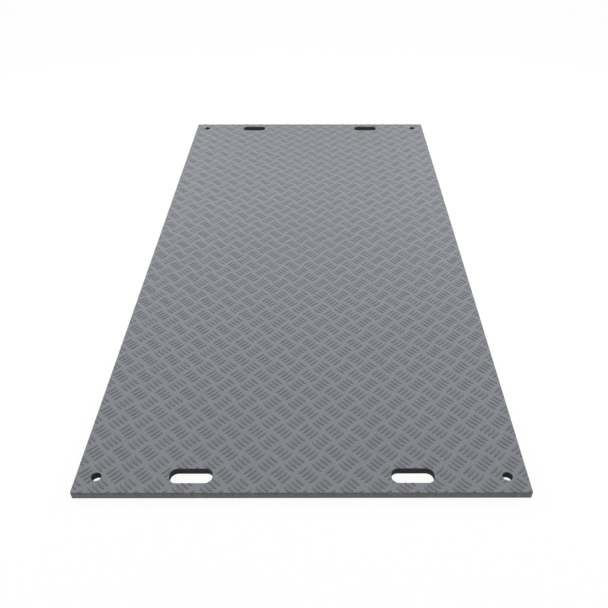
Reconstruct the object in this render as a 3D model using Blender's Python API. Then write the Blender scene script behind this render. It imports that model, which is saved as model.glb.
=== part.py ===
"""Ground protection mat: one flat moulded sheet of dark grey polyethylene.

Two hand slots go through the sheet near each end, and one pinning hole goes through each corner.
The origin is at the middle of the underside. The width runs along X, the length along Y, and +Z is up.
All lengths are in metres.
"""

import math

import bmesh
import bpy

# The sheet itself
SHEET_LENGTH = 2.440
SHEET_WIDTH = 1.220
SHEET_THICKNESS = 0.023
SHEET_CORNER_RADIUS = 0.003
SHEET_EDGE_ROUND = 0.0010

# Hand slots, a pair across each end
SLOT_LENGTH = 0.116
SLOT_WIDTH = 0.047
SLOT_CORNER_RADIUS = 0.020
SLOT_SPACING = 0.599
SLOT_END_INSET = 0.056
SLOT_RIM_ROUND = 0.0020

# Pinning holes, one in each corner
HOLE_DIAMETER = 0.027
HOLE_SIDE_INSET = 0.056
HOLE_END_INSET = 0.053
HOLE_RIM_ROUND = 0.0015

# Steps of the drawn arcs
SHEET_CORNER_STEPS = 3
SLOT_CORNER_STEPS = 8
HOLE_STEPS = 48
RIM_STEPS = 2

# Moulded polyethylene, as linear colour
MAT_COLOUR = (0.150, 0.155, 0.163, 1.0)
MAT_ROUGHNESS = 0.45
SHARP_ANGLE = math.radians(20)

ENDS = (-1, 1)
SIDES = (-1, 1)


def arc(centre, radius, start_angle, sweep, steps):
    """Points along an arc, counter-clockwise, both ends included."""
    points = []
    for step in range(steps + 1):
        angle = start_angle + sweep * step / steps
        points.append((centre[0] + radius * math.cos(angle), centre[1] + radius * math.sin(angle)))
    return points


def rounded_rectangle(centre, size_x, size_y, corner_radius, corner_steps):
    """Outline of a rectangle with round corners, counter-clockwise."""
    quarter_turn = math.pi / 2
    points = []
    for quarter, (side_x, side_y) in enumerate(((1, 1), (-1, 1), (-1, -1), (1, -1))):
        corner_centre = (
            centre[0] + side_x * (size_x / 2 - corner_radius),
            centre[1] + side_y * (size_y / 2 - corner_radius),
        )
        points += arc(corner_centre, corner_radius, quarter * quarter_turn, quarter_turn, corner_steps)
    return points


def sheet_outline(grow):
    """The sheet's own edge, moved outwards by grow."""
    return rounded_rectangle(
        (0, 0),
        SHEET_WIDTH + 2 * grow,
        SHEET_LENGTH + 2 * grow,
        SHEET_CORNER_RADIUS + grow,
        SHEET_CORNER_STEPS,
    )


def slot_outline(centre, grow):
    """The edge of a hand slot, moved outwards by grow."""
    return rounded_rectangle(
        centre,
        SLOT_LENGTH + 2 * grow,
        SLOT_WIDTH + 2 * grow,
        SLOT_CORNER_RADIUS + grow,
        SLOT_CORNER_STEPS,
    )


def hole_outline(centre, grow):
    """The edge of a pinning hole, moved outwards by grow."""
    return arc(centre, HOLE_DIAMETER / 2 + grow, 0, 2 * math.pi, HOLE_STEPS)[:-1]


def slot_centres():
    """Middle of each hand slot."""
    distance_along = SHEET_LENGTH / 2 - SLOT_END_INSET
    return [(side * SLOT_SPACING / 2, end * distance_along) for end in ENDS for side in SIDES]


def hole_centres():
    """Middle of each pinning hole."""
    distance_across = SHEET_WIDTH / 2 - HOLE_SIDE_INSET
    distance_along = SHEET_LENGTH / 2 - HOLE_END_INSET
    return [(side * distance_across, end * distance_along) for end in ENDS for side in SIDES]


def rim_profile(rim_round):
    """(setback from the wall, height) from the underside up to the top face, round at both rims."""
    upper = []
    for step in range(RIM_STEPS + 1):
        angle = math.pi / 2 * step / RIM_STEPS
        setback = rim_round * (1 - math.cos(angle))
        upper.append((setback, SHEET_THICKNESS - rim_round * (1 - math.sin(angle))))
    lower = [(setback, SHEET_THICKNESS - height) for setback, height in reversed(upper)]
    return lower + upper


def add_wall(mesh, outline, rim_round, setback_direction):
    """Skins one wall through the thickness and returns its edges on the underside and on the top face.

    outline gives the wall's edge moved outwards by a distance. setback_direction is 1 round an
    opening, whose rims widen, and -1 round the sheet, whose rims draw in.
    """
    rings = []
    for setback, height in rim_profile(rim_round):
        ring = [mesh.verts.new((x, y, height)) for x, y in outline(setback_direction * setback)]
        rings.append(ring)
    for lower, upper in zip(rings, rings[1:]):
        for index, corner in enumerate(lower):
            following = (index + 1) % len(lower)
            mesh.faces.new((corner, lower[following], upper[following], upper[index]))
    return ring_edges(mesh, rings[0]), ring_edges(mesh, rings[-1])


def ring_edges(mesh, ring):
    """The edges that close a ring of points."""
    return [mesh.edges.get((corner, ring[index - 1])) for index, corner in enumerate(ring)]


def fill_face(mesh, edges, normal):
    """Fills a flat face between the sheet's outline and the rims of its openings."""
    bmesh.ops.triangle_fill(mesh, edges=edges, normal=normal, use_beauty=True)


def polyethylene():
    """Dark grey polyethylene with a soft sheen."""
    material = bpy.data.materials.new("dark_grey_polyethylene")
    material.use_nodes = True
    surface = material.node_tree.nodes["Principled BSDF"]
    surface.inputs["Base Color"].default_value = MAT_COLOUR
    surface.inputs["Metallic"].default_value = 0.0
    surface.inputs["Roughness"].default_value = MAT_ROUGHNESS
    return material


def mat_sheet_mesh():
    """The sheet with its slots and holes, as one closed mesh."""
    mesh = bmesh.new()
    walls = [add_wall(mesh, sheet_outline, SHEET_EDGE_ROUND, -1)]
    for centre in slot_centres():
        walls.append(add_wall(mesh, lambda grow: slot_outline(centre, grow), SLOT_RIM_ROUND, 1))
    for centre in hole_centres():
        walls.append(add_wall(mesh, lambda grow: hole_outline(centre, grow), HOLE_RIM_ROUND, 1))
    fill_face(mesh, [edge for underside, _ in walls for edge in underside], (0, 0, -1))
    fill_face(mesh, [edge for _, top in walls for edge in top], (0, 0, 1))
    bmesh.ops.recalc_face_normals(mesh, faces=mesh.faces)
    return mesh


def add_mat_sheet():
    """The mat, which is one moulded piece."""
    data = bpy.data.meshes.new("mat_sheet")
    mesh = mat_sheet_mesh()
    mesh.to_mesh(data)
    mesh.free()
    data.shade_smooth()
    data.set_sharp_from_angle(angle=SHARP_ANGLE)
    data.materials.append(polyethylene())
    sheet = bpy.data.objects.new("mat_sheet", data)
    bpy.context.scene.collection.objects.link(sheet)
    return sheet


def clear_scene():
    """Removes whatever the scene holds at the start."""
    for leftover in list(bpy.data.objects):
        bpy.data.objects.remove(leftover)


def main():
    """Builds the mat in an empty scene."""
    clear_scene()
    add_mat_sheet()


if __name__ == "__main__":
    main()
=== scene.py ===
"""Looks of the ground protection mat: a pressed polyethylene sheet with a raised bar tread.

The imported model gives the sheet, its slots and its holes. This script dresses that sheet, stands the
tread bars on its top face, cuts them where the sheet ends, and lights the mat in a plain white
studio. The photo is taken to be 608 by 608 pixels. All lengths are in metres.
"""

import logging
import math
from dataclasses import dataclass, field
from enum import Enum

import bmesh
import bpy
import numpy as np
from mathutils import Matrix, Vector


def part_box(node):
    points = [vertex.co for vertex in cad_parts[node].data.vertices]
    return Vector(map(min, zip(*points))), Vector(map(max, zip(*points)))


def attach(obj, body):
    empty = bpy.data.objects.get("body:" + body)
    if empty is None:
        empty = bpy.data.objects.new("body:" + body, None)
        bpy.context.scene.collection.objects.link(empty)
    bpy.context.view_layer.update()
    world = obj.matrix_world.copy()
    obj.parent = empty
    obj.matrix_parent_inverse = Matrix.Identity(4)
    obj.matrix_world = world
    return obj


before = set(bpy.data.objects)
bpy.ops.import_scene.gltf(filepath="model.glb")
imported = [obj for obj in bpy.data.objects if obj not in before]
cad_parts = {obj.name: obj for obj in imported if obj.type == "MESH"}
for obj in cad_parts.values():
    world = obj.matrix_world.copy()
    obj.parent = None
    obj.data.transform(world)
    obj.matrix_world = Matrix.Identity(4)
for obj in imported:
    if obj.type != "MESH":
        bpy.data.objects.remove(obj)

LOG = logging.getLogger("ground_mat")

SHEET_NODE = "mat_sheet"
ROOT_BODY = "root"
PHOTO_PIXELS = 608

Point = tuple[float, float, float]
Colour = tuple[float, float, float, float]


class BarDirection(Enum):
    """Which way the bars of a tread group run, seen from above with the front edge at the bottom."""

    RISING = 1
    FALLING = -1


@dataclass(frozen=True)
class NoiseLayer:
    """One layer of noise: its features per metre, and how many finer octaves it has."""

    scale: float
    detail: float


CLOUDS = NoiseLayer(3.0, 5.0)
ORANGE_PEEL = NoiseLayer(170.0, 2.0)
FINE_GRAIN = NoiseLayer(800.0, 2.0)
# Breaks up the height tints: the painted highlight on the bar crowns and the colour bands along the wall
# rims
TINT_PATCHES = NoiseLayer(45.0, 3.0)
FLOOR_MOTTLE = NoiseLayer(1.5, 2.0)

# These two are read on stretched places, so their scale is a plain factor
TOOL_STREAKS = NoiseLayer(1.0, 5.0)
TOOL_CHATTER = NoiseLayer(4.3, 2.0)


class ShaderTree:
    """Adds nodes to one shader tree and links them."""

    # Blender's noise keeps near the middle of 0 to 1, and this brings it out to about -1 to 1
    NOISE_MIDDLE = 0.5
    NOISE_SPREAD = 5.0

    def __init__(self, tree: bpy.types.NodeTree) -> None:
        """Takes over a node tree.

        Args:
            tree: The material's, group's or world's node tree.
        """
        self.tree = tree

    def add(self, kind: str, **settings: object) -> bpy.types.Node:
        """Adds one node.

        Args:
            kind: The node's type name in Blender.
            settings: Properties to set on it, such as its operation.

        Returns:
            The new node.
        """
        node = self.tree.nodes.new(kind)
        for name, value in settings.items():
            setattr(node, name, value)
        return node

    def feed(self, socket: bpy.types.NodeSocket, value: object) -> None:
        """Links a socket to another one, or sets it to a constant.

        Args:
            socket: The input to feed.
            value: An output socket, or the constant.
        """
        if isinstance(value, bpy.types.NodeSocket):
            self.tree.links.new(value, socket)
        else:
            socket.default_value = value

    def math(self, operation: str, *values: object) -> bpy.types.NodeSocket:
        """Combines numbers.

        Args:
            operation: Blender's name of the operation.
            values: Its sockets or numbers, in order.

        Returns:
            The result's socket.
        """
        node = self.add("ShaderNodeMath", operation=operation)
        for socket, value in zip(node.inputs, values):
            self.feed(socket, value)
        return node.outputs[0]

    def scaled(self, vector: object, factor: object) -> bpy.types.NodeSocket:
        """Multiplies a vector or colour by another vector or by one number.

        Args:
            vector: The vector's socket.
            factor: A vector's socket, or a number's socket.

        Returns:
            The product's socket.
        """
        node = self.add("ShaderNodeVectorMath", operation="MULTIPLY")
        self.feed(node.inputs[0], vector)
        self.feed(node.inputs[1], factor)
        return node.outputs[0]

    def noise(self, position: object, layer: NoiseLayer) -> bpy.types.NodeSocket:
        """Adds noise that runs from about -1 to 1.

        Args:
            position: The vector to read it at.
            layer: Its scale and detail.

        Returns:
            The centred noise's socket.
        """
        node = self.add("ShaderNodeTexNoise")
        self.feed(node.inputs["Vector"], position)
        node.inputs["Scale"].default_value = layer.scale
        node.inputs["Detail"].default_value = layer.detail
        centred = self.math("SUBTRACT", node.outputs["Fac"], self.NOISE_MIDDLE)
        return self.math("MULTIPLY", centred, self.NOISE_SPREAD)

    def ramp(self, value: object, start: object, end: object) -> bpy.types.NodeSocket:
        """Goes smoothly from 0 at start to 1 at end.

        Args:
            value: The number's socket.
            start: Where the ramp begins.
            end: Where it is full.

        Returns:
            The ramp's socket.
        """
        node = self.add("ShaderNodeMapRange", interpolation_type="SMOOTHSTEP")
        self.feed(node.inputs["Value"], value)
        self.feed(node.inputs["From Min"], start)
        self.feed(node.inputs["From Max"], end)
        return node.outputs["Result"]

    def mixed_colour(self, share: object, first: object, second: object) -> bpy.types.NodeSocket:
        """Mixes two colours.

        Args:
            share: How much of the second it takes.
            first: The first colour.
            second: The second colour.

        Returns:
            The mixed colour's socket.
        """
        node = self.add("ShaderNodeMix", data_type="RGBA")
        inputs = [socket for socket in node.inputs if socket.type == "RGBA"]
        self.feed(node.inputs["Factor"], share)
        self.feed(inputs[0], first)
        self.feed(inputs[1], second)
        return next(socket for socket in node.outputs if socket.type == "RGBA")

    def mixed_number(self, share: object, first: object, second: object) -> bpy.types.NodeSocket:
        """Mixes two numbers.

        Args:
            share: How much of the second it takes.
            first: The first number.
            second: The second number.

        Returns:
            The mixed number's socket.
        """
        node = self.add("ShaderNodeMix", data_type="FLOAT")
        self.feed(node.inputs["Factor"], share)
        self.feed(node.inputs["A"], first)
        self.feed(node.inputs["B"], second)
        return node.outputs["Result"]

    def parts(self, vector: object) -> dict[str, bpy.types.NodeSocket]:
        """Splits a vector.

        Args:
            vector: The vector's socket.

        Returns:
            Its X, Y and Z.
        """
        node = self.add("ShaderNodeSeparateXYZ")
        self.feed(node.inputs[0], vector)
        return {name: node.outputs[name] for name in "XYZ"}


class EffectGroup:
    """A shader node group that several finishes share."""

    def __init__(self, name: str, inputs: dict[str, str], outputs: dict[str, str]) -> None:
        """Makes the group with its sockets.

        Args:
            name: The group's name.
            inputs: Socket name to socket type, in order.
            outputs: Socket name to socket type, in order.
        """
        self.group = bpy.data.node_groups.new(name, "ShaderNodeTree")
        for in_out, sockets in (("INPUT", inputs), ("OUTPUT", outputs)):
            for socket_name, socket_type in sockets.items():
                self.group.interface.new_socket(socket_name, in_out=in_out, socket_type=socket_type)
        self.nodes = ShaderTree(self.group)
        self.given = self.nodes.add("NodeGroupInput").outputs
        self.made = self.nodes.add("NodeGroupOutput").inputs

    def give(self, **values: object) -> None:
        """Feeds the group's own outputs.

        Args:
            values: Output name to socket.
        """
        for name, value in values.items():
            self.nodes.feed(self.made[name], value)

    def put_in(self, nodes: ShaderTree, **values: object) -> bpy.types.NodeOutputs:
        """Places the group in a material.

        Args:
            nodes: The material's tree.
            values: Input name, with underscores for spaces, to a socket or constant.

        Returns:
            The placed group's outputs.
        """
        placed = nodes.add("ShaderNodeGroup", node_tree=self.group)
        for name, value in values.items():
            nodes.feed(placed.inputs[name.replace("_", " ")], value)
        return placed.outputs


NUMBER = "NodeSocketFloat"
VECTOR = "NodeSocketVector"
COLOUR = "NodeSocketColor"
SURFACE_OUTPUTS = {"Colour": COLOUR, "Roughness": NUMBER, "Height": NUMBER}


class SharedEffects:
    """The effects that the mat's finishes share."""

    PEEL_IN_ROUGHNESS = 0.5
    GRAIN_IN_RELIEF = 0.25
    CHATTER_IN_MARKS = 0.35
    MARK_ROUGHNESS_SPREAD = 0.06
    PATCH_EDGES = (-1.0, 0.4)

    def __init__(self) -> None:
        """Builds each group once."""
        self.moulding_grain = self._moulding_grain()
        self.cut_marks = self._cut_marks()
        self.height_tint = self._height_tint()

    def _moulding_grain(self) -> EffectGroup:
        """Slow clouds, a faint orange peel and the fine grain of pressed plastic.

        Returns:
            The group, which gives a colour, a roughness and a height in metres.
        """
        inputs = {
            "Position": VECTOR,
            "Colour": COLOUR,
            "Cloud Amount": NUMBER,
            "Grain Amount": NUMBER,
            "Roughness": NUMBER,
            "Roughness Spread": NUMBER,
            "Grain Depth": NUMBER,
        }
        effect = EffectGroup("moulding_grain", inputs, SURFACE_OUTPUTS)
        nodes, given = effect.nodes, effect.given
        cloud = nodes.noise(given["Position"], CLOUDS)
        peel = nodes.noise(given["Position"], ORANGE_PEEL)
        grain = nodes.noise(given["Position"], FINE_GRAIN)
        tone = nodes.math("MULTIPLY_ADD", cloud, given["Cloud Amount"], 1.0)
        tone = nodes.math("MULTIPLY_ADD", peel, given["Grain Amount"], tone)
        uneven = nodes.mixed_number(self.PEEL_IN_ROUGHNESS, cloud, peel)
        rough = nodes.math("MULTIPLY_ADD", uneven, given["Roughness Spread"], given["Roughness"])
        relief = nodes.math("MULTIPLY_ADD", grain, self.GRAIN_IN_RELIEF, peel)
        effect.give(
            Colour=nodes.scaled(given["Colour"], tone),
            Roughness=rough,
            Height=nodes.math("MULTIPLY", relief, given["Grain Depth"]),
        )
        return effect

    def _cut_marks(self) -> EffectGroup:
        """Streaks that a saw or a router leaves on a wall.

        Returns:
            The group, which gives a colour, a roughness and a height in metres.
        """
        inputs = {
            "Position": VECTOR,
            "Stretch": VECTOR,
            "Colour": COLOUR,
            "Amount": NUMBER,
            "Roughness": NUMBER,
            "Mark Depth": NUMBER,
        }
        effect = EffectGroup("cut_marks", inputs, SURFACE_OUTPUTS)
        nodes, given = effect.nodes, effect.given
        stretched = nodes.scaled(given["Position"], given["Stretch"])
        streaks = nodes.noise(stretched, TOOL_STREAKS)
        chatter = nodes.noise(stretched, TOOL_CHATTER)
        marks = nodes.mixed_number(self.CHATTER_IN_MARKS, streaks, chatter)
        tone = nodes.math("MULTIPLY_ADD", marks, given["Amount"], 1.0)
        effect.give(
            Colour=nodes.scaled(given["Colour"], tone),
            Roughness=nodes.math("MULTIPLY_ADD", marks, self.MARK_ROUGHNESS_SPREAD, given["Roughness"]),
            Height=nodes.math("MULTIPLY", marks, given["Mark Depth"]),
        )
        return effect

    def _height_tint(self) -> EffectGroup:
        """Plastic that changes towards another colour with its height above the ground, used for a painted
        highlight on the bar crowns and for painted shade fading at the top of the slot and hole walls.

        Returns:
            The group, which gives a colour and the share of the other colour in it.
        """
        inputs = {
            "Position": VECTOR,
            "Colour": COLOUR,
            "Tint": COLOUR,
            "Start Height": NUMBER,
            "Full Height": NUMBER,
            "Amount": NUMBER,
        }
        effect = EffectGroup("height_tint", inputs, {"Colour": COLOUR, "Share": NUMBER})
        nodes, given = effect.nodes, effect.given
        height = nodes.parts(given["Position"])["Z"]
        raised = nodes.ramp(height, given["Start Height"], given["Full Height"])
        patches = nodes.ramp(nodes.noise(given["Position"], TINT_PATCHES), *self.PATCH_EDGES)
        share = nodes.math("MULTIPLY", nodes.math("MULTIPLY", raised, patches), given["Amount"])
        effect.give(Colour=nodes.mixed_colour(share, given["Colour"], given["Tint"]), Share=share)
        return effect


@dataclass
class Surface:
    """What one finish says of a surface: its colour, its roughness and its height in metres."""

    colour: bpy.types.NodeSocket
    roughness: bpy.types.NodeSocket
    height: bpy.types.NodeSocket

    def covered_by(self, nodes: ShaderTree, share: bpy.types.NodeSocket, other: "Surface") -> "Surface":
        """Lays another finish over this one.

        Args:
            nodes: The material's tree.
            share: Where the other finish lies.
            other: The other finish.

        Returns:
            The two together.
        """
        return Surface(
            nodes.mixed_colour(share, self.colour, other.colour),
            nodes.mixed_number(share, self.roughness, other.roughness),
            nodes.mixed_number(share, self.height, other.height),
        )


@dataclass(frozen=True)
class PressedSkin:
    """Polyethylene as it leaves the press: even, satin and faintly clouded."""

    colour: Colour = (0.154, 0.161, 0.177, 1.0)
    cloud_amount: float = 0.020
    grain_amount: float = 0.030
    roughness: float = 0.47
    roughness_spread: float = 0.03
    grain_depth: float = 0.00005

    def lay(self, nodes: ShaderTree, position: bpy.types.NodeSocket, effects: SharedEffects) -> Surface:
        """Puts the finish in a material.

        Args:
            nodes: The material's tree.
            position: The point's place on the mat.
            effects: The shared node groups.

        Returns:
            The surface.
        """
        made = effects.moulding_grain.put_in(
            nodes,
            Position=position,
            Colour=self.colour,
            Cloud_Amount=self.cloud_amount,
            Grain_Amount=self.grain_amount,
            Roughness=self.roughness,
            Roughness_Spread=self.roughness_spread,
            Grain_Depth=self.grain_depth,
        )
        return Surface(made["Colour"], made["Roughness"], made["Height"])


@dataclass(frozen=True)
class CutWall:
    """A wall where a tool went through the sheet, streaked by the tool, with another colour along the top
    rim (darker on the sawn outline).
    """

    colour: Colour
    stretch: Point
    streak_amount: float
    roughness: float
    mark_depth: float
    rim_colour: Colour
    rim_depth: float
    rim_amount: float

    def lay(
        self,
        nodes: ShaderTree,
        position: bpy.types.NodeSocket,
        top: float,
        effects: SharedEffects,
    ) -> Surface:
        """Puts the finish in a material.

        Args:
            nodes: The material's tree.
            position: The point's place on the mat.
            top: The height of the sheet's top face.
            effects: The shared node groups.

        Returns:
            The surface.
        """
        marks = effects.cut_marks.put_in(
            nodes,
            Position=position,
            Stretch=self.stretch,
            Colour=self.colour,
            Amount=self.streak_amount,
            Roughness=self.roughness,
            Mark_Depth=self.mark_depth,
        )
        rim = effects.height_tint.put_in(
            nodes,
            Position=position,
            Colour=marks["Colour"],
            Tint=self.rim_colour,
            Start_Height=top - self.rim_depth,
            Full_Height=top,
            Amount=self.rim_amount,
        )
        return Surface(rim["Colour"], marks["Roughness"], marks["Height"])


@dataclass(frozen=True)
class Finish:
    """A material of one surface, whose relief is a bump."""

    name: str
    effects: SharedEffects

    def start(self) -> tuple[bpy.types.Material, ShaderTree, bpy.types.NodeSocket]:
        """Makes the empty material.

        Returns:
            The material, its tree and the point's place on the mat.
        """
        material = bpy.data.materials.new(self.name)
        material.use_nodes = True
        nodes = ShaderTree(material.node_tree)
        return material, nodes, nodes.add("ShaderNodeTexCoord").outputs["Object"]

    def end(self, material: bpy.types.Material, nodes: ShaderTree, surface: Surface) -> bpy.types.Material:
        """Connects the surface to the material's shader.

        Args:
            material: The material.
            nodes: Its tree.
            surface: What it shows.

        Returns:
            The finished material.
        """
        shader = material.node_tree.nodes["Principled BSDF"]
        nodes.feed(shader.inputs["Base Color"], surface.colour)
        nodes.feed(shader.inputs["Roughness"], surface.roughness)
        bump = nodes.add("ShaderNodeBump")
        bump.inputs["Distance"].default_value = 1.0
        nodes.feed(bump.inputs["Height"], surface.height)
        nodes.feed(shader.inputs["Normal"], bump.outputs["Normal"])
        return material


@dataclass(frozen=True)
class SheetFinish(Finish):
    """The whole sheet's material: pressed faces, sawn outline, and routed slots and holes whose walls
    carry painted shade.
    """

    high: Vector
    skin: PressedSkin = PressedSkin()
    sawn: CutWall = CutWall(
        colour=(0.106, 0.107, 0.106, 1.0),
        stretch=(95.0, 95.0, 9.0),
        streak_amount=0.42,
        roughness=0.62,
        mark_depth=0.00012,
        rim_colour=(0.042, 0.043, 0.046, 1.0),
        rim_depth=0.009,
        rim_amount=1.0,
    )
    # Near-black: painted shade inside the slots and holes, fading towards the skin's grey along the top 2
    # mm of each wall
    routed_wall_shade: CutWall = CutWall(
        colour=(0.0100, 0.0105, 0.0110, 1.0),
        stretch=(12.0, 12.0, 420.0),
        streak_amount=0.15,
        roughness=0.80,
        mark_depth=0.00008,
        rim_colour=(0.110, 0.114, 0.122, 1.0),
        rim_depth=0.002,
        rim_amount=0.6,
    )
    outline_margin: float = 0.004
    wall_slope: float = 0.35
    face_slope: float = 0.75

    def build(self) -> bpy.types.Material:
        """Makes the material.

        Returns:
            The finished material.
        """
        material, nodes, position = self.start()
        skin = self.skin.lay(nodes, position, self.effects)
        sawn = self.sawn.lay(nodes, position, self.high.z, self.effects)
        routed_wall_shade = self.routed_wall_shade.lay(nodes, position, self.high.z, self.effects)
        place = nodes.parts(position)
        across = nodes.math("SUBTRACT", nodes.math("ABSOLUTE", place["X"]), self.high.x)
        along = nodes.math("SUBTRACT", nodes.math("ABSOLUTE", place["Y"]), self.high.y)
        outline = nodes.math("GREATER_THAN", nodes.math("MAXIMUM", across, along), -self.outline_margin)
        facing = nodes.parts(nodes.add("ShaderNodeTexCoord").outputs["Normal"])["Z"]
        face = nodes.ramp(nodes.math("ABSOLUTE", facing), self.wall_slope, self.face_slope)
        wall = nodes.math("SUBTRACT", 1.0, face)
        cut = routed_wall_shade.covered_by(nodes, outline, sawn)
        return self.end(material, nodes, skin.covered_by(nodes, wall, cut))


@dataclass(frozen=True)
class TreadFinish(Finish):
    """The bars' material: the sheet's skin, painted darker all over the bar as painted shade of the
    flanks, and paler towards the crowns as a painted highlight.
    """

    crown_height: float
    bar_height: float
    # Darker than the sheet's skin: painted shade, standing in for the bars' shaded flanks
    skin: PressedSkin = PressedSkin(colour=(0.113, 0.118, 0.130, 1.0))
    # The paler crown colour is a painted highlight, where the crowns catch the light
    crown_highlight_colour: Colour = (0.131, 0.137, 0.150, 1.0)
    crown_highlight_amount: float = 0.8
    crown_highlight_share_of_height: float = 0.5
    crown_gloss: float = 0.05

    def build(self) -> bpy.types.Material:
        """Makes the material.

        Returns:
            The finished material.
        """
        material, nodes, position = self.start()
        skin = self.skin.lay(nodes, position, self.effects)
        # Painted highlight: paler towards the crowns, in patches
        crown_highlight = self.effects.height_tint.put_in(
            nodes,
            Position=position,
            Colour=skin.colour,
            Tint=self.crown_highlight_colour,
            Start_Height=self.crown_height - self.crown_highlight_share_of_height * self.bar_height,
            Full_Height=self.crown_height,
            Amount=self.crown_highlight_amount,
        )
        smoother = nodes.math("MULTIPLY_ADD", crown_highlight["Share"], -self.crown_gloss, skin.roughness)
        return self.end(material, nodes, Surface(crown_highlight["Colour"], smoother, skin.height))


def new_object(name: str, data: bpy.types.Mesh) -> bpy.types.Object:
    """Puts a mesh in the scene.

    Args:
        name: The object's name.
        data: Its mesh.

    Returns:
        The new object.
    """
    thing = bpy.data.objects.new(name, data)
    bpy.context.scene.collection.objects.link(thing)
    return thing


@dataclass
class MouldedSheet:
    """The sheet itself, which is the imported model's own solid with a new finish."""

    node: bpy.types.Object
    weld_distance: float = 0.000002
    flat_tolerance: float = 0.00001
    low: Vector = field(init=False)
    high: Vector = field(init=False)

    def __post_init__(self) -> None:
        """Reads the sheet's box from the frame."""
        self.low, self.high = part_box(SHEET_NODE)

    def dress(self, material: bpy.types.Material) -> None:
        """Gives the sheet its material.

        Args:
            material: The sheet's material.
        """
        for slot in self.node.material_slots:
            slot.material = material
        LOG.info("%s: dressed in %s", self.node.name, material.name)

    def top_face(self) -> bmesh.types.BMesh:
        """Copies the flat top face alone, welded, with its openings.

        Returns:
            The face's mesh.
        """
        mesh = bmesh.new()
        mesh.from_mesh(self.node.data)
        bmesh.ops.remove_doubles(mesh, verts=mesh.verts, dist=self.weld_distance)
        lowest = self.high.z - self.flat_tolerance
        others = [face for face in mesh.faces if any(corner.co.z < lowest for corner in face.verts)]
        bmesh.ops.delete(mesh, geom=others, context="FACES")
        return mesh

    def opening_boxes(self) -> list[tuple[Vector, Vector]]:
        """Finds the rims of the slots and holes on the top face.

        The longest rim is the sheet's own outline, and it is left out.

        Returns:
            The lowest and highest corner of each rim.
        """
        mesh = self.top_face()
        rim_edges = {edge for edge in mesh.edges if edge.is_boundary}
        boxes = []
        while rim_edges:
            loop = self._take_loop(rim_edges)
            low = Vector([min(point[axis] for point in loop) for axis in range(3)])
            high = Vector([max(point[axis] for point in loop) for axis in range(3)])
            boxes.append((low, high))
        mesh.free()
        boxes.sort(key=lambda box: (box[1] - box[0]).length)
        return boxes[:-1]

    def _take_loop(self, rim_edges: set[bmesh.types.BMEdge]) -> list[Vector]:
        """Takes one closed rim out of a set of edges.

        Args:
            rim_edges: Boundary edges, from which the rim's are removed.

        Returns:
            The rim's points.
        """
        reached = [rim_edges.pop()]
        points = []
        while reached:
            edge = reached.pop()
            for corner in edge.verts:
                points.append(corner.co.copy())
                linked = [other for other in corner.link_edges if other in rim_edges]
                rim_edges.difference_update(linked)
                reached.extend(linked)
        return points

    def trimming_block(self, below: float, above: float) -> bpy.types.Object:
        """Makes a closed block over the top face, open where the sheet is open.

        Args:
            below: How far it reaches under the top face.
            above: How far it reaches over it.

        Returns:
            The block's object.
        """
        mesh = self.top_face()
        bmesh.ops.translate(mesh, verts=mesh.verts, vec=(0, 0, -below))
        data = bpy.data.meshes.new("trimming_block")
        mesh.to_mesh(data)
        mesh.free()
        block = new_object("trimming_block", data)
        thicken = block.modifiers.new("thicken", "SOLIDIFY")
        thicken.thickness = below + above
        thicken.offset = 1.0
        return block


@dataclass
class TreadBar:
    """One raised bar: low and rounded across, with tapered ends, and its rim sunk into the sheet."""

    length: float = 0.038
    width: float = 0.0088
    height: float = 0.0024
    sunk: float = 0.0003
    stations: int = 6
    strips: int = 6
    end_taper: float = 3.0
    end_swell: float = 5.0
    crown_power: float = 1.7

    def points(self) -> np.ndarray:
        """Points of a bar that lies along X at the origin, sections first and then the two tips.

        Returns:
            An array of places, one row for each point.
        """
        rows = []
        for station in range(1, self.stations + 1):
            along = -math.cos(math.pi * station / (self.stations + 1))
            half_width = self.width / 2 * math.sqrt(1 - abs(along) ** self.end_taper)
            swell = 1 - abs(along) ** self.end_swell
            for strip in range(self.strips + 1):
                across = 2 * strip / self.strips - 1
                crown = 1 - abs(across) ** self.crown_power
                rise = (self.height + self.sunk) * swell * crown - self.sunk
                rows.append((along * self.length / 2, across * half_width, rise))
        rows.append((-self.length / 2, 0.0, -self.sunk))
        rows.append((self.length / 2, 0.0, -self.sunk))
        return np.array(rows)

    def faces(self) -> list[tuple[int, ...]]:
        """Faces over those points, facing out.

        Returns:
            Tuples of point numbers.
        """
        row = self.strips + 1
        sections = range(0, self.stations * row, row)
        last = sections[-1]
        near_tip = self.stations * row
        far_tip = near_tip + 1
        faces = []
        for start in sections[:-1]:
            for strip in range(start, start + self.strips):
                faces.append((strip, strip + row, strip + row + 1, strip + 1))
        for strip in range(self.strips):
            faces.append((near_tip, strip, strip + 1))
            faces.append((far_tip, last + strip + 1, last + strip))
        left_rim = [start + self.strips for start in sections]
        faces.append((near_tip, *left_rim, far_tip, *reversed(sections)))
        return faces


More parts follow.
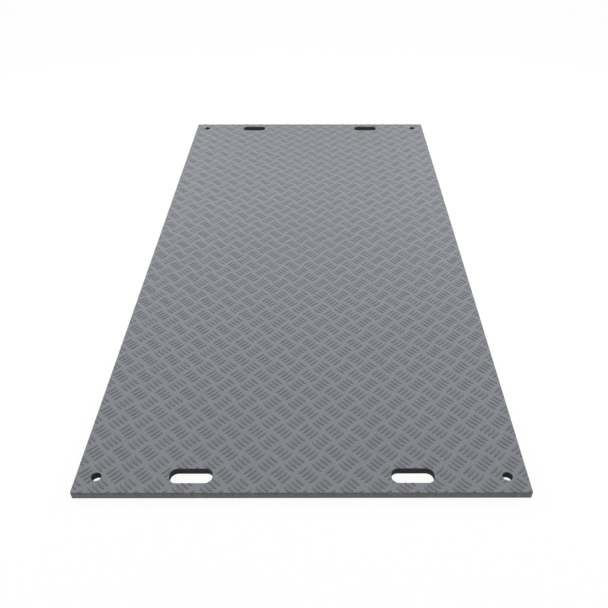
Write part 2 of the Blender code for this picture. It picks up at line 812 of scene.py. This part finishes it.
@dataclass
class Tread:
    """The chequered tread: groups of parallel bars that turn a right angle from cell to cell.

    Falling groups lie half a pitch from the rising ones, both across and along the sheet.
    """

    sheet: MouldedSheet
    bar: TreadBar = field(default_factory=TreadBar)
    pitch_across: float = 0.0743
    pitch_along: float = 0.0772
    first_rising_across: float = 0.0326
    first_rising_along: float = 0.0585
    bars_per_group: int = 4
    bar_spacing: float = 0.0137
    height_spread: float = 0.04
    trim_margin: float = 0.003
    sharp_angle: float = math.radians(50)
    seed: int = 7

    def _way(self, direction: BarDirection) -> np.ndarray:
        """Which way the bars run.

        Args:
            direction: The bars' direction.

        Returns:
            The unit vector as x and y.
        """
        way = np.array((direction.value * self.pitch_across, self.pitch_along))
        return way / np.linalg.norm(way)

    def _group_centres(self, direction: BarDirection) -> np.ndarray:
        """Middles of all groups of one direction that can touch the sheet.

        Args:
            direction: The bars' direction.

        Returns:
            Rows of x and y.
        """
        low, high = self.sheet.low, self.sheet.high
        start = -1.0 if direction is BarDirection.RISING else -0.5
        first_across = low.x + self.first_rising_across + start * self.pitch_across
        first_along = low.y + self.first_rising_along + start * self.pitch_along
        across = np.arange(first_across, high.x + self.pitch_across, self.pitch_across)
        along = np.arange(first_along, high.y + self.pitch_along, self.pitch_along)
        grid = np.meshgrid(across, along)
        return np.stack([grid[0].ravel(), grid[1].ravel()], axis=1)

    def _bar_centres(self, direction: BarDirection) -> np.ndarray:
        """Middles of all bars of one direction that can touch the sheet.

        Args:
            direction: The bars' direction.

        Returns:
            Rows of x and y.
        """
        diagonal = np.array((-direction.value * self.pitch_across, self.pitch_along))
        places = np.arange(self.bars_per_group) - (self.bars_per_group - 1) / 2
        steps = places[:, None] * self.bar_spacing * diagonal / np.linalg.norm(diagonal)
        centres = (self._group_centres(direction)[:, None, :] + steps[None, :, :]).reshape(-1, 2)
        reach = self._reach(direction)
        low = np.array(self.sheet.low[:2]) - reach
        high = np.array(self.sheet.high[:2]) + reach
        return centres[np.all((centres > low) & (centres < high), axis=1)]

    def _reach(self, direction: BarDirection) -> np.ndarray:
        """How far a bar reaches from its middle, across and along the sheet.

        Args:
            direction: The bars' direction.

        Returns:
            The two distances.
        """
        way = np.abs(self._way(direction))
        return way * self.bar.length / 2 + way[::-1] * self.bar.width / 2

    def _needs_trimming(self, centres: np.ndarray, direction: BarDirection) -> np.ndarray:
        """Finds the bars that meet the sheet's outline or one of its openings.

        Args:
            centres: The bars' middles.
            direction: Their direction.

        Returns:
            True for each bar that has to be trimmed.
        """
        reach = self._reach(direction) + self.trim_margin
        low = np.array(self.sheet.low[:2]) + reach
        high = np.array(self.sheet.high[:2]) - reach
        meets = np.any((centres < low) | (centres > high), axis=1)
        for rim_low, rim_high in self.sheet.opening_boxes():
            near = (centres > np.array(rim_low[:2]) - reach) & (centres < np.array(rim_high[:2]) + reach)
            meets |= np.all(near, axis=1)
        return meets

    def _bars_mesh(self, name: str, centres: np.ndarray, direction: BarDirection) -> bpy.types.Mesh:
        """Copies the bar to each place.

        Args:
            name: The mesh's name.
            centres: The bars' middles.
            direction: Their direction.

        Returns:
            One mesh of all the bars.
        """
        way = self._way(direction)
        across = np.array((-way[1], way[0]))
        points = self.bar.points()
        flat = points[:, :1] * way + points[:, 1:2] * across
        random = np.random.default_rng(self.seed)
        heights = 1 + self.height_spread * random.uniform(-1, 1, len(centres))
        places = np.empty((len(centres), len(points), 3))
        places[:, :, :2] = centres[:, None, :] + flat[None, :, :]
        places[:, :, 2] = self.sheet.high.z + points[None, :, 2] * heights[:, None]
        faces = []
        for copy in range(len(centres)):
            start = copy * len(points)
            faces.extend(tuple(start + corner for corner in face) for face in self.bar.faces())
        data = bpy.data.meshes.new(name)
        data.from_pydata(places.reshape(-1, 3).tolist(), [], faces)
        data.update()
        return data

    def _trimmed(self, data: bpy.types.Mesh, block: bpy.types.Object) -> bpy.types.Mesh:
        """Keeps only what lies over the sheet's top face.

        The bars' curved faces are split into flat triangles first, so that each cut edge is clean.

        Args:
            data: Bars that meet an edge.
            block: The block to keep them within.

        Returns:
            The mesh of the trimmed bars.
        """
        uncut = new_object("uncut_bars", data)
        uncut.modifiers.new("flatten_faces", "TRIANGULATE")
        trim = uncut.modifiers.new("trim", "BOOLEAN")
        trim.operation = "INTERSECT"
        trim.solver = "EXACT"
        trim.object = block
        bpy.context.view_layer.update()
        evaluated = uncut.evaluated_get(bpy.context.evaluated_depsgraph_get())
        trimmed = bpy.data.meshes.new_from_object(evaluated)
        bpy.data.objects.remove(uncut)
        return trimmed

    def build(
        self,
        direction: BarDirection,
        block: bpy.types.Object,
        finish: bpy.types.Material,
    ) -> bpy.types.Object:
        """Makes all the bars of one direction as one piece.

        Args:
            direction: The bars' direction.
            block: The block that the bars at edges are trimmed to.
            finish: The bars' material.

        Returns:
            The piece.
        """
        name = f"tread_bars_{direction.name.lower()}"
        centres = self._bar_centres(direction)
        meets = self._needs_trimming(centres, direction)
        whole = self._bars_mesh(name + "_whole", centres[~meets], direction)
        cut = self._trimmed(self._bars_mesh(name + "_cut", centres[meets], direction), block)
        mesh = bmesh.new()
        mesh.from_mesh(whole)
        mesh.from_mesh(cut)
        data = bpy.data.meshes.new(name)
        mesh.to_mesh(data)
        mesh.free()
        data.shade_smooth()
        data.set_sharp_from_angle(angle=self.sharp_angle)
        data.materials.append(finish)
        LOG.info("%s: %d bars, %d of them at an edge", name, len(centres), int(meets.sum()))
        return new_object(name, data)


@dataclass(frozen=True)
class Floor:
    """The plain pale floor, which stays close to white for the camera and keeps the mat's shadow."""

    size: float = 60.0
    gap_below_mat: float = 0.0002
    colour: Point = (0.82, 0.82, 0.82)
    mottle_amount: float = 0.01
    white_share: float = 0.94

    def _finish(self) -> bpy.types.Material:
        """Makes the floor's material.

        Returns:
            The material.
        """
        material = bpy.data.materials.new("pale_studio_floor")
        material.use_nodes = True
        nodes = ShaderTree(material.node_tree)
        material.node_tree.nodes.clear()
        paint = nodes.add("ShaderNodeBsdfDiffuse")
        mottle = nodes.noise(nodes.add("ShaderNodeTexCoord").outputs["Object"], FLOOR_MOTTLE)
        shade = nodes.math("MULTIPLY_ADD", mottle, self.mottle_amount, 1.0)
        nodes.feed(paint.inputs["Color"], nodes.scaled(self.colour, shade))
        glow = nodes.add("ShaderNodeEmission")
        path = nodes.add("ShaderNodeLightPath")
        seen = nodes.math("MAXIMUM", path.outputs["Is Camera Ray"], path.outputs["Is Glossy Ray"])
        blend = nodes.add("ShaderNodeMixShader")
        nodes.feed(blend.inputs[0], nodes.math("MULTIPLY", seen, self.white_share))
        nodes.feed(blend.inputs[1], paint.outputs[0])
        nodes.feed(blend.inputs[2], glow.outputs[0])
        output = nodes.add("ShaderNodeOutputMaterial")
        nodes.feed(output.inputs["Surface"], blend.outputs[0])
        return material

    def build(self) -> None:
        """Lays the floor under the mat."""
        half = self.size / 2
        corners = [(-half, -half, 0), (half, -half, 0), (half, half, 0), (-half, half, 0)]
        data = bpy.data.meshes.new("studio_floor")
        data.from_pydata(corners, [], [(0, 1, 2, 3)])
        data.materials.append(self._finish())
        floor = new_object("studio_floor", data)
        floor.location.z = -self.gap_below_mat
        LOG.info("%s: %.0f metres square", floor.name, self.size)


@dataclass(frozen=True)
class Softbox:
    """A broad soft studio lamp aimed at one point, which never shows in the picture itself."""

    name: str
    place: Point
    aim: Point
    width: float
    depth: float
    power: float
    makes_sheen: bool

    def build(self) -> None:
        """Hangs the lamp."""
        lamp = bpy.data.lights.new(self.name, "AREA")
        lamp.shape = "RECTANGLE"
        lamp.size = self.width
        lamp.size_y = self.depth
        lamp.energy = self.power
        hung = bpy.data.objects.new(self.name, lamp)
        hung.location = self.place
        way = Vector(self.aim) - Vector(self.place)
        hung.rotation_euler = way.to_track_quat("-Z", "Y").to_euler()
        hung.visible_camera = False
        hung.visible_glossy = self.makes_sheen
        bpy.context.scene.collection.objects.link(hung)
        LOG.info("%s: %.0f watts", self.name, self.power)


@dataclass(frozen=True)
class Studio:
    """The white room: its own even light, and the lamps."""

    colour: Colour = (1.0, 1.0, 1.0, 1.0)
    ambient: float = 0.85
    lamps: tuple[Softbox, ...] = (
        Softbox("left_softbox", (-2.2, 0.8, 1.4), (-0.2, -0.2, 0.0), 1.2, 1.2, 49.0, makes_sheen=False),
        Softbox("right_softbox", (2.2, 0.8, 1.4), (0.2, -0.2, 0.0), 1.2, 1.2, 49.0, makes_sheen=False),
        Softbox("back_softbox", (0.0, 4.4, 2.4), (0.0, 0.3, 0.0), 3.4, 1.4, 13.0, makes_sheen=True),
    )

    def _world(self) -> None:
        """Makes the room white to the eye and fainter as a light."""
        world = bpy.data.worlds.new("white_room")
        bpy.context.scene.world = world
        world.use_nodes = True
        nodes = ShaderTree(world.node_tree)
        world.node_tree.nodes.clear()
        path = nodes.add("ShaderNodeLightPath")
        seen = nodes.math("MAXIMUM", path.outputs["Is Camera Ray"], path.outputs["Is Transmission Ray"])
        seen = nodes.math("MAXIMUM", seen, path.outputs["Is Glossy Ray"])
        room = nodes.add("ShaderNodeBackground")
        nodes.feed(room.inputs["Color"], self.colour)
        nodes.feed(room.inputs["Strength"], nodes.mixed_number(seen, self.ambient, 1.0))
        output = nodes.add("ShaderNodeOutputWorld")
        nodes.feed(output.inputs["Surface"], room.outputs[0])

    def build(self) -> None:
        """Lights the room."""
        self._world()
        for lamp in self.lamps:
            lamp.build()


@dataclass(frozen=True)
class StudioCamera:
    """The photo's viewpoint, fitted to the four top corners of the sheet."""

    place: Point = (0.0433, -2.3338, 1.5003)
    look_down: float = math.radians(37.42)
    turn: float = math.radians(-0.09)
    lens_mm: float = 40.12
    sensor_mm: float = 36.0
    centre_offset_pixels: float = 14.7
    far_clip: float = 200.0

    def build(self) -> None:
        """Sets up the camera and makes it the scene's."""
        data = bpy.data.cameras.new("studio_camera")
        data.lens = self.lens_mm
        data.sensor_width = self.sensor_mm
        data.shift_x = -self.centre_offset_pixels / PHOTO_PIXELS
        data.clip_end = self.far_clip
        camera = bpy.data.objects.new("studio_camera", data)
        camera.location = self.place
        camera.rotation_euler = (math.pi / 2 - self.look_down, 0.0, self.turn)
        bpy.context.scene.collection.objects.link(camera)
        bpy.context.scene.camera = camera
        LOG.info("%s: %.1f mm lens", camera.name, self.lens_mm)


@dataclass
class GroundMat:
    """The whole mat: the moulded sheet with its tread."""

    effects: SharedEffects = field(default_factory=SharedEffects)
    block_below: float = 0.002
    block_above: float = 0.004

    def build(self) -> None:
        """Dresses the sheet and builds its tread."""
        sheet = MouldedSheet(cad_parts[SHEET_NODE])
        sheet.dress(SheetFinish("moulded_sheet_finish", self.effects, sheet.high).build())
        tread = Tread(sheet)
        crown = sheet.high.z + tread.bar.height
        finish = TreadFinish("tread_bar_finish", self.effects, crown, tread.bar.height).build()
        block = sheet.trimming_block(self.block_below, self.block_above)
        for direction in BarDirection:
            piece = tread.build(direction, block, finish)
            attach(piece, ROOT_BODY)
        bpy.data.objects.remove(block)


def main() -> None:
    """Builds the mat and the studio in order."""
    logging.basicConfig(level=logging.INFO, format="%(name)s: %(message)s")
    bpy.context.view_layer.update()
    bpy.context.scene.view_settings.view_transform = "Standard"
    StudioCamera().build()
    GroundMat().build()
    Floor().build()
    Studio().build()


if __name__ == "__main__":
    main()
